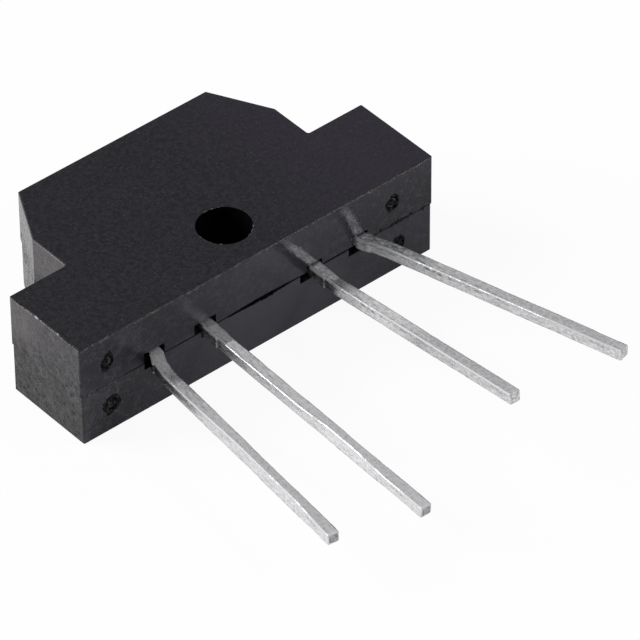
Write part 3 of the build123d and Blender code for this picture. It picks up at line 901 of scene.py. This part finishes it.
def bent_lead(name, side, row, mouth, stub, runs, seed):
    """Bent square lead, as a rounded square carried along its route.

    A point of the section is moved out by the stub's overhang between the stub's ends, where the dam bar
    was cut, and everywhere by a few thousandths of wandering unevenness. Over the last part the section
    shrinks by the end's rounding times 1 - sqrt(1 - t²), a quarter circle. Where the wire was drawn out of
    square, the upper left corner is moved in by the lean times its bilinear weight, one at that corner and
    nought at the other three.
    """
    across = row * side * PITCH / 2
    exit_point = np.array([mouth[0], REAR_Y, mouth[1]])
    corners = [
        on_device(side, (across, FOOT, 0.0)), on_device(side, (across, PACKAGE_BACK - KNEE_SETBACK, 0.0)),
        exit_point + [0.0, SLOT_DEPTH, 0.0], exit_point,
    ]
    for length, splay, rise in runs:
        corners.append(corners[-1] + run_way(splay, rise) * length)
    route = rounded_route(corners, BEND_RADIUS, 0.1)
    reached = stations(route)
    mouth_at = reached[np.argmin(np.linalg.norm(route - exit_point, axis=1))]
    stub_ends = mouth_at + STUB_START, mouth_at + stub
    end = reached[-1]
    extra = np.concatenate([
        stub_ends[0] + np.array([-STUB_STEP, 0.0]), stub_ends[1] + np.array([0.0, STUB_STEP]),
        end - END_ROUND * (1 - np.sin(np.linspace(0.0, pi / 2, 8)))[:-1],
    ])
    at = np.unique(np.concatenate([reached[reached < end - END_ROUND - 0.01], extra, [end]]))
    line = np.stack([np.interp(at, reached, route[:, axis]) for axis in range(3)], axis=-1)
    level, up = level_frames(line)
    outline = rounded_square(LEAD / 2, LEAD_ROUND, 6, FLAT_STEPS)
    rings = np.broadcast_to(outline, (len(at),) + outline.shape).copy()
    station = at[:, None]
    outside = station - mouth_at
    inside_stub = (station >= stub_ends[0] - 1e-6) & (station <= stub_ends[1] + 1e-6)
    flank = ease(0.12, 0.2, np.abs(outline[:, 0]))[None]
    places = np.stack([
        np.broadcast_to(station, rings.shape[:2]), rings[..., 0] * 2.0, rings[..., 1] * 2.0,
    ], axis=-1)
    uneven = 0.006 * wander(places * [0.5, 1.0, 1.0], seed, 1.6, 3) + 0.002 * wander(places, seed + 1, 0.5, 2)
    uneven *= 0.15 + 0.85 * ease(1.2, 2.4, outside)
    torn = 0.012 * wander(places, seed + 2, 0.35, 2)
    overhang = np.where(outline[:, 0] < 0, STUB_OVERHANG, STUB_SIDE) + np.clip(torn, -0.01, 0.006)
    rings[..., 0] += np.sign(outline[:, 0]) * flank * np.where(inside_stub, overhang, 0.0)
    if name in LEANING:
        begin, full, slack, upright = LEANING[name]
        lean = LEAN * ease(begin, full, outside) * (1.0 - ease(slack, upright, outside))
        leftward, upward = np.clip(0.5 + outline / LEAD * [-1.0, 1.0], 0.0, 1.0).T
        rings[..., 0] += lean * (leftward * upward)
    rings *= (1.0 + np.clip(uneven, -0.01, 0.004) / (LEAD / 2))[..., None]
    last = np.clip((station - (end - END_ROUND)) / END_ROUND, 0.0, 1.0)
    drawn_in = END_ROUND * (1.0 - np.sqrt(1.0 - last**2)) * (1.0 + 0.12 * wander(places, seed + 4, 0.9, 1))
    drawn_in = np.clip(drawn_in, 0.0, 1.2 * END_ROUND)[..., None]
    rings -= np.sign(rings) * drawn_in * ease(0.06, 0.16, np.abs(rings))
    solid = line[:, None] + rings[..., :1] * level[:, None] + rings[..., 1:] * up[:, None]
    around = ring_lengths(outline) + (LEAD - 2 * LEAD_ROUND) / FLAT_STEPS
    points, faces, chart = tube_mesh(solid, at - mouth_at, around)
    tin = LEAD_TINS[name]
    piece = mesh_piece(name + "_dressed", points, faces, tin, chart, sharp=radians(38))
    # Painted shade and light by side: left leads take the darker cut end, right leads the lighter one
    piece.data.materials.append(SHADED_END if side == LEFT else LIT_END)
    index = np.zeros(len(faces), dtype=np.int32)
    index[-len(outline):] = 1
    piece.data.polygons.foreach_set("material_index", index)
    return piece


def frame_plate(name, side, outline):
    """Plate of the lead frame: an outline across and along the optical axis, as thick as a lead.

    Each corner has a point half a thickness above and one half a thickness below the package's middle
    plane, walls join them, and the edges are then rolled over.
    """
    # The outline is taken backwards on the left, where it is mirrored
    outline = np.asarray(outline, float)[::side]
    count = len(outline)
    top = on_device(side, np.column_stack([outline, np.full(count, LEAD / 2)]))
    bottom = on_device(side, np.column_stack([outline, np.full(count, -LEAD / 2)]))
    here = np.arange(count)
    after = (here + 1) % count
    walls = np.stack([here, here + count, after + count, after], axis=-1)[:, ::-1]
    faces = walls.tolist() + [here.tolist(), (here[::-1] + count).tolist()]
    clockwise = np.cross(top[1] - top[0], top[2] - top[1])[2] < 0
    if clockwise:
        faces = [face[::-1] for face in faces]
    piece = mesh_piece(name, np.concatenate([top, bottom]), faces, FRAME_SILVER, smooth=False)
    bevel = piece.modifiers.new("rolled_edges", "BEVEL")
    bevel.width = ROLLED_EDGE * MM
    bevel.segments = 3
    bevel.limit_method = "ANGLE"
    return piece


for number, (name, (side, row, mouth, stub, runs)) in enumerate(LEADS.items()):
    lead = bent_lead(name, side, row, mouth, stub, runs, 20 + number)
    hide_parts(name)

for side, carrier, post in (
    (LEFT, "emitter_cathode_lead", "emitter_anode_lead"),
    (RIGHT, "detector_collector_lead", "detector_emitter_lead"),
):
    inner, outer = (PITCH - LEAD) / 2, (PITCH + LEAD) / 2
    foot = FOOT - PLATE_INTO_LEAD
    plate = frame_plate(carrier + "_plate", side, [
        (-side * outer, foot), (-side * HEAD_RADIUS, PLATE),
        (side * HEAD_RADIUS / 2, PLATE), (-side * inner, foot),
    ])
    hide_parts(carrier)
    pad = frame_plate(post + "_pad", side, [
        (side * outer, foot), (side * (PAD_START + PAD), POST),
        (side * PAD_START, POST), (side * inner, foot),
    ])
    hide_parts(post)
    face = [(HEAD_RADIUS, PLATE), (HEAD_RADIUS, HEAD)]
    if side == LEFT:
        face += [(HEAD_RADIUS - CUP_RIM, HEAD), (CUP_FLOOR_RADIUS, HEAD - CUP_DEPTH), (0.0, HEAD - CUP_DEPTH)]
    else:
        face += [(0.0, HEAD)]
    head_line = rounded_route(
        [(0.0, PLATE - 0.35), (HEAD_RADIUS - CUP_RIM, PLATE - 0.175)] + face, 0.02, 0.05
    )
    head_line[[0, -1], 0] = NEARLY_NOUGHT
    points, faces, chart = turned_mesh(side, head_line, 64)
    head = mesh_piece(carrier + "_head", points, faces, FRAME_SILVER, chart, sharp=radians(40))
    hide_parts(carrier)


# Packages, chips and wires

def lens_profile():
    """Radius and level of a package from the middle of its back to the top of its lens.

    The flange and the barrel are straight runs with small round corners, and the lens is a quarter circle
    of the barrel's radius.
    """
    flange_front = PACKAGE_BACK + FLANGE
    dome_base = flange_front + BARREL
    body = rounded_route([
        (0.0, PACKAGE_BACK), (FLANGE_RADIUS, PACKAGE_BACK), (FLANGE_RADIUS, flange_front),
        (PACKAGE_RADIUS, flange_front), (PACKAGE_RADIUS, dome_base),
    ], 0.06, 0.12)
    angles = np.linspace(0.0, pi / 2, 33)[1:]
    dome = np.stack([PACKAGE_RADIUS * np.cos(angles), dome_base + DOME * np.sin(angles)], axis=-1)
    profile = np.concatenate([body, dome])
    profile[[0, -1], 0] = NEARLY_NOUGHT
    return profile


for side, device, epoxy in ((LEFT, "emitter", CLEAR_EPOXY), (RIGHT, "detector", DARK_EPOXY)):
    flat = (PACKAGE_RADIUS, PACKAGE_BACK - 0.01, PACKAGE_BACK + FLANGE + 0.001)
    points, faces, chart = turned_mesh(side, lens_profile(), 96, flat)
    lens = mesh_piece(device + "_lens_body", points, faces, epoxy, chart, sharp=radians(40))
    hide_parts(device + "_package")

for device, chip in CHIPS.items():
    side = chip[0]
    foot = chip_top(device)
    crest = foot + WIRE_RISE
    landing = side * (PAD_START + PAD / 2)
    loop = rounded_route([(0.0, foot), (0.0, crest), (landing, crest), (landing, POST)], WIRE_BEND, 0.03)
    line = on_device(side, np.column_stack([loop, np.zeros(len(loop))]))
    way = unit(np.gradient(line, axis=0))
    up = np.broadcast_to([0.0, 0.0, 1.0], way.shape)
    level = np.cross(up, way)
    reached = stations(line)
    # The wire swells to a ball on the chip and to a smaller weld on the pad, both as a bell curve
    ball = np.exp(-((reached - 0.012) / 0.03) ** 2) * 0.026
    weld = np.exp(-((reached - reached[-1]) / 0.04) ** 2) * 0.012
    radius = (WIRE_RADIUS - 0.001 + (ball + weld))[:, None, None]
    angles = np.linspace(0.0, 2 * pi, 16, endpoint=False)[:, None]
    rings = line[:, None] + radius * (np.cos(angles) * level[:, None] + np.sin(angles) * up[:, None])
    points, faces, chart = tube_mesh(rings, reached, np.linspace(0.0, 2 * pi * WIRE_RADIUS, 17))
    wire = mesh_piece(device + "_wire_loop", points, faces, DRAWN_GOLD, chart, sharp=radians(60))
    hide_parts(device + "_bond_wire")


# Gate scars and pressed-out edges of the housing

def torn_gate(name, x, z, seed, wide, tall, lean):
    """Scar where a gate was torn off: a disc of polar points raised and pitted at random.

    The outline is an ellipse of the given half width and half height whose edge wanders, leaning over by a
    share of its height. Inside the round recess the height is a lumpy field around a torn core, and outside
    it a thin skin of smeared plastic stands a few thousandths proud of the back face.
    """
    rows, columns = 34, 96
    t = np.linspace(0.02, 1.0, rows)[:, None]
    angle = np.linspace(0.0, 2 * pi, columns, endpoint=False)[None]
    edge = 1.0 + 0.07 * wander(np.stack([np.cos(angle), np.sin(angle)], -1), seed, 1.3, 4)
    up = t * edge * tall * np.sin(angle)
    across = t * edge * wide * np.cos(angle) + lean * up
    places = np.stack([across, up], axis=-1)
    lumps = 0.04 * wander(places, seed + 1, 0.4, 4)
    core = 0.05 * np.exp(-((np.hypot(across + 0.05, up - 0.06) / 0.16) ** 2))
    pit = np.clip(-0.06 + lumps + core, -0.115, 0.03)
    skin = 0.006 + 0.02 * np.clip(wander(places, seed + 2, 0.3, 3), 0.0, 1.2)
    height = pit + (skin - pit) * ease(*RECESS_EDGE, np.hypot(across, up))
    height = np.where(t > 0.985, -0.004, height)
    front = np.stack([x + across, REAR_Y - height, z + up], axis=-1)
    back = front[-1:] * [1, 0, 1] + [0, REAR_Y + 0.12, 0]
    rings = np.concatenate([front, back])[::-1]
    points, faces, chart = tube_mesh(rings, np.arange(rows + 1) * 0.01, np.arange(columns + 1) * 0.02)
    return mesh_piece(name, points, faces, TORN_PLASTIC, chart, sharp=radians(50))


# Each scar: place along X and Z, half width, half height and lean
for number, (x, z, wide, tall, lean) in enumerate((
    (-BODY_X + 1.3, MID + 1.1, 0.28, 0.46, 0.22), (BODY_X - 2.05, MID + 1.1, 0.34, 0.40, 0.15),
    (-BODY_X + 1.45, MID - 1.1, 0.44, 0.47, 0.08), (BODY_X - 1.75, MID - 1.1, 0.34, 0.38, 0.08),
)):
    torn_gate(f"gate_scar_{number + 1}", x, z, 60 + 5 * number, wide, tall, lean)


def bore_shade_sheet(radius, thickness, low, high, seed):
    """Dark sheet lining the mounting hole, painted shade that keeps the bore dark: a closed oval section,
    carried round the hole's axis.

    A point is at its radius times (cos v, -sin v); the inner side wanders by a few thousandths, more along
    the turn than along the axis, as a drawn core pin leaves it.
    """
    steps, columns = 24, 96
    levels = np.linspace(high, low, steps)
    inner = np.stack([np.full(steps, radius), levels], axis=-1)
    outer = np.stack([np.full(steps, radius + thickness), levels[::-1]], axis=-1)
    profile = np.concatenate([inner, outer])
    rows = len(profile)
    angle = np.linspace(0.0, 2 * pi, columns, endpoint=False)[None]
    level = profile[:, 1, None]
    sway = np.stack(np.broadcast_arrays(1.6 * np.cos(angle), 1.6 * np.sin(angle), 0.25 * level), axis=-1)
    ripple = 0.003 * wander(sway, seed, 1.2, 3) * (profile[:, 0, None] < radius + 0.001)
    reach = profile[:, 0, None] + np.clip(ripple, -0.006, 0.004)
    points = np.stack(np.broadcast_arrays(reach * np.cos(angle), -reach * np.sin(angle), level), axis=-1)
    row, column = np.meshgrid(np.arange(rows), np.arange(columns), indexing="ij")
    below, after = (row + 1) % rows, (column + 1) % columns
    faces = np.stack([
        row * columns + column, below * columns + column, below * columns + after, row * columns + after,
    ], axis=-1).reshape(-1, 4)
    points = points.reshape(-1, 3)
    return mesh_piece("bore_shade_sheet", points, faces.tolist(), BORE_SHADE_AND_SEAM_BLACK, sharp=radians(50))


# A near-black sheet inside the hole, painted shade for the bore
bore_shade_sheet(HOLE_RADIUS - 0.024, 0.02, 0.02, HEIGHT - 0.012, 131)


def broken_bead(name, corners, tall, proud, sway, seed, shares, material):
    """Plastic pressed out along an edge: a small oval section whose size comes and goes along its line.

    The section is tall upwards and proud outwards, both times a wandering value between nought and one that
    is sharpened so that it breaks up, and every point wanders a little more by itself. The line sways up
    and down by a wandering value times the sway. The bead is held inside the housing's box.
    """
    route = rounded_route(corners, 0.04, 0.03)
    reached = stations(route)
    route[:, 2] += sway * wander(reached[:, None], seed + 3, 0.9, 4)
    way = unit(np.gradient(route, axis=0))
    flat = unit(np.cross(way, [0.0, 0.0, 1.0]))
    up = np.cross(flat, way)
    swing = wander(reached[:, None], seed, 2.2, 5)
    size = 0.15 + 0.85 * ease(shares[0], shares[1], swing)
    angles = np.linspace(0.0, 2 * pi, 10, endpoint=False)
    around = np.broadcast_arrays(reached[:, None] * 5, np.cos(angles), np.sin(angles))
    grain = np.clip(1.0 + 0.45 * wander(np.stack(around, axis=-1), seed + 1, 1.2, 3), 0.2, 1.7)
    out, rise = proud * np.cos(angles)[None, :, None], tall * np.sin(angles)[None, :, None]
    section = out * flat[:, None] + rise * up[:, None]
    rings = (route[:, None] + section * (size[:, None] * grain)[..., None])[:, ::-1]
    low, high = np.array([-BODY_X, -np.inf, 0.0]), np.array([BODY_X, NOSE_Y, HEIGHT])
    rings = np.clip(rings, low + BOX_GAP, high - BOX_GAP)
    points, faces, chart = tube_mesh(rings, reached, np.arange(len(angles) + 1) * 0.02)
    return mesh_piece(name, points, faces, material, chart, sharp=radians(70))


def rim_arc(radius, level, first, last, count):
    """Points of an arc round the hole's axis, between two angles in degrees from +X."""
    turns = np.radians(np.linspace(first, last, count))
    return np.stack([radius * np.cos(turns), radius * np.sin(turns), np.full(count, level)], axis=-1)


def back_line(depth, *ends):
    """Line along the back face, at a depth inside it, through points given as x and z."""
    return [(x, REAR_Y + depth, z) for x, z in ends]


def left_edge_line(first, last):
    """Line just inside the left top edge, between two places along Y."""
    return [(-BODY_X + 0.028, y, HEIGHT - 0.03) for y in (first, last)]


# Each bead: name, line, half height, half width, sway, seed, the wandering values at which it begins to
# grow and is full, and its finish
# The pale facets of the edge beads and the white specks on the left edge and hole rim are painted glints
BEADS = (
    (
        "top_edge_rear", back_line(0.014, (-BODY_X + 0.06, HEIGHT - 0.085), (BODY_X - 0.06, HEIGHT - 0.085)),
        0.05, 0.032, 0.012, 101, (-1.7, 0.9), EDGE_FLASH_GLINTS,
    ),
    (
        "top_edge_left_rear", left_edge_line(REAR_Y + 0.06, -0.9),
        0.03, 0.027, 0.0, 103, (-1.6, 0.2), TORN_PLASTIC,
    ),
    (
        "top_edge_left_front", left_edge_line(0.85, ARM_FRONT_Y - 0.06),
        0.03, 0.027, 0.0, 104, (-1.6, 0.2), TORN_PLASTIC,
    ),
    (
        "top_edge_left_painted_glints", left_edge_line(-0.85, 0.8),
        0.034, 0.03, 0.0, 127, (-0.9, 0.8), WHITE_GLINT_EDGE,
    ),
    (
        "seam_left", back_line(0.004, (-BODY_X + 0.05, MID), (-6.7, MID)),
        0.05, 0.01, 0.01, 107, (-2.6, -0.6), HOUSING_PLASTIC,
    ),
    (
        "seam_right", back_line(0.004, (5.52, MID + 0.03), (BODY_X - 0.07, MID)),
        0.085, 0.018, 0.03, 109, (-0.9, 0.2), TORN_PLASTIC,
    ),
    (
        "seam_middle", back_line(0.004, (-0.3, MID - 0.055), (0.85, MID - 0.05)),
        0.07, 0.012, 0.012, 137, (-2.4, -0.6), BORE_SHADE_AND_SEAM_BLACK,
    ),
    (
        "hole_rim", rim_arc(HOLE_RADIUS, HEIGHT - 0.012, 0.0, 355.0, 60),
        0.02, 0.022, 0.0, 113, (-0.2, 1.4), EDGE_FLASH_GLINTS,
    ),
    (
        "hole_rim_painted_glints", rim_arc(HOLE_RADIUS - 0.02, HEIGHT - 0.022, -138.0, -108.0, 14),
        0.02, 0.04, 0.0, 149, (-0.8, 0.9), WHITE_GLINT_EDGE,
    ),
)
for bead in BEADS:
    broken_bead(*bead)


# Materials of the CAD nodes that stay

NODE_FINISHES = {
    "upper_housing": HOUSING_PLASTIC,
    "lower_housing": HOUSING_PLASTIC,
    "emitter_die": chip_surface("emitter", (0.20, 0.17, 0.15), (0.85, 0.62, 0.3), (0.35, 0.32, 0.3)),
    "detector_die": chip_surface("detector", (0.035, 0.05, 0.11), (0.8, 0.8, 0.82), (0.6, 0.6, 0.62)),
    "emitter_die_attach": ADHESIVE_SILVER,
    "detector_die_attach": ADHESIVE_SILVER,
}
for name, finish in NODE_FINISHES.items():
    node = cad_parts[name]
    node.data.materials.clear()
    node.data.materials.append(finish)


# Stage, light and camera

def pale_floor():
    """A plain pale floor that keeps a faint shadow and is clear from underneath.

    It is white to the camera and partly white to glossy reflections: most under the part and its nose and
    far behind the back face, less close behind it, and less again there outside four strips along Y, a
    shadow painted into what reflections see of the floor. Under the mounting hole, reflections do not find it
    white, which is painted shade that keeps the hole dark.
    """
    size, depth = 3.0, -0.01 * MM
    mesh = bpy.data.meshes.new("floor")
    corners = [(-size, -size, depth), (size, -size, depth), (size, size, depth), (-size, size, depth)]
    mesh.from_pydata(corners, [], [(0, 1, 2, 3)])
    floor = placed("floor", mesh)
    material = bpy.data.materials.new("floor")
    n = emptied(material)
    matte = n.add("BsdfDiffuse", Color=(0.88, 0.88, 0.88))
    white = n.add("Emission", Color=(1, 1, 1), Strength=1.0)
    path = n.add("LightPath").outputs
    spot = n.add("TexCoord").outputs["Object"]
    away = n.add("VectorMath", {"operation": "LENGTH"}, Vector=spot).outputs["Value"]
    beside, behind = n.parts(spot)[:2]
    # Painted shadow for reflections: the floor is less white to glossy rays close behind the back face and
    # outside these strips
    strips = 0.0
    # Middle and half width of each strip along X, in millimetres
    for middle, half in ((-7.4, 0.9), (-4.2, 0.4), (1.0, 0.4), (4.4, 0.9)):
        strip = n.fade(n.off(beside, middle * MM), half * MM, (half + 0.4) * MM)
        strips = n.most(strips, strip)
    strips = n.most(strips, n.fade(behind, -8.0 * MM, -7.0 * MM))
    clear = n.times(n.span(behind, -6.5 * MM, -4.0 * MM, 0.42, 0.16), n.blend(strips, 0.45, 1.0))
    clear = n.most(clear, n.span(behind, -1.0 * MM, 0.0, 0.0, 0.42))
    clear = n.times(clear, n.math("GREATER_THAN", away, 1.5 * MM))
    share = n.plus(n.times(path["Is Camera Ray"], 0.93), n.times(path["Is Glossy Ray"], clear))
    share = n.plus(share, n.times(path["Is Transmission Ray"], 0.3))
    mixed = n.add("MixShader", i0=share, i1=matte.outputs[0], i2=white.outputs[0])
    underneath = n.add("NewGeometry").outputs["Backfacing"]
    glass = n.add("BsdfTransparent")
    mixed = n.add("MixShader", i0=underneath, i1=mixed.outputs[0], i2=glass.outputs[0])
    n.add("OutputMaterial", Surface=mixed.outputs[0])
    mesh.materials.append(material)


def grey_studio():
    """A plain grey room round the part, white where the camera looks past it."""
    world = bpy.data.worlds.new("studio")
    bpy.context.scene.world = world
    n = emptied(world)
    room = n.add("Background", Color=(0.98, 0.98, 1.0), Strength=0.36)
    backdrop = n.add("Background", Color=(1, 1, 1), Strength=1.0)
    seen = n.add("LightPath").outputs["Is Camera Ray"]
    mixed = n.add("MixShader", i0=seen, i1=room.outputs[0], i2=backdrop.outputs[0])
    n.add("OutputWorld", Surface=mixed.outputs[0])


def soft_lamp(name, toward, distance, size, radiance):
    """A square soft box in a direction from the part, turned to it, with its brightness as seen from there.

    A lamp of area A gives out pi times A times its brightness in watts.
    """
    lamp = bpy.data.lights.new(name, "AREA")
    lamp.shape = "SQUARE"
    lamp.size = size
    lamp.energy = pi * size * size * radiance
    holder = placed(name, lamp)
    place = Vector(toward).normalized() * distance
    turn = (-place).to_track_quat("-Z", "Y").to_matrix().to_4x4()
    holder.matrix_world = Matrix.Translation(place) @ turn


def product_camera():
    """The photograph's long lens, from the left of the leads and above."""
    data = bpy.data.cameras.new("product_camera")
    data.sensor_width = 36.0
    data.lens = 354.19
    data.clip_start = 0.01
    data.clip_end = 20.0
    camera = placed("product_camera", data)
    azimuth, elevation, roll = radians(-40.163), radians(41.007), radians(-0.493)
    right = Vector((cos(azimuth), sin(azimuth), 0.0))
    back = Vector((sin(azimuth) * cos(elevation), -cos(azimuth) * cos(elevation), sin(elevation)))
    up = back.cross(right)
    rolled_right = right * cos(roll) + up * sin(roll)
    rolled_up = up * cos(roll) - right * sin(roll)
    turn = Matrix((rolled_right, rolled_up, back)).transposed().to_4x4()
    camera.matrix_world = Matrix.Translation(Vector((-116.199, -143.326, 160.321)) * MM) @ turn
    bpy.context.scene.camera = camera


pale_floor()
grey_studio()
soft_lamp("left_soft_box", (-0.655, 0.587, 0.52), 0.8, 0.5, 8.8)
soft_lamp("right_soft_box", (0.458, -0.565, 0.686), 0.9, 0.269, 6.5)
soft_lamp("back_soft_box", (0.476, 0.60, 0.66), 0.9, 0.75, 0.15)
product_camera()
bpy.context.scene.view_settings.view_transform = "Standard"
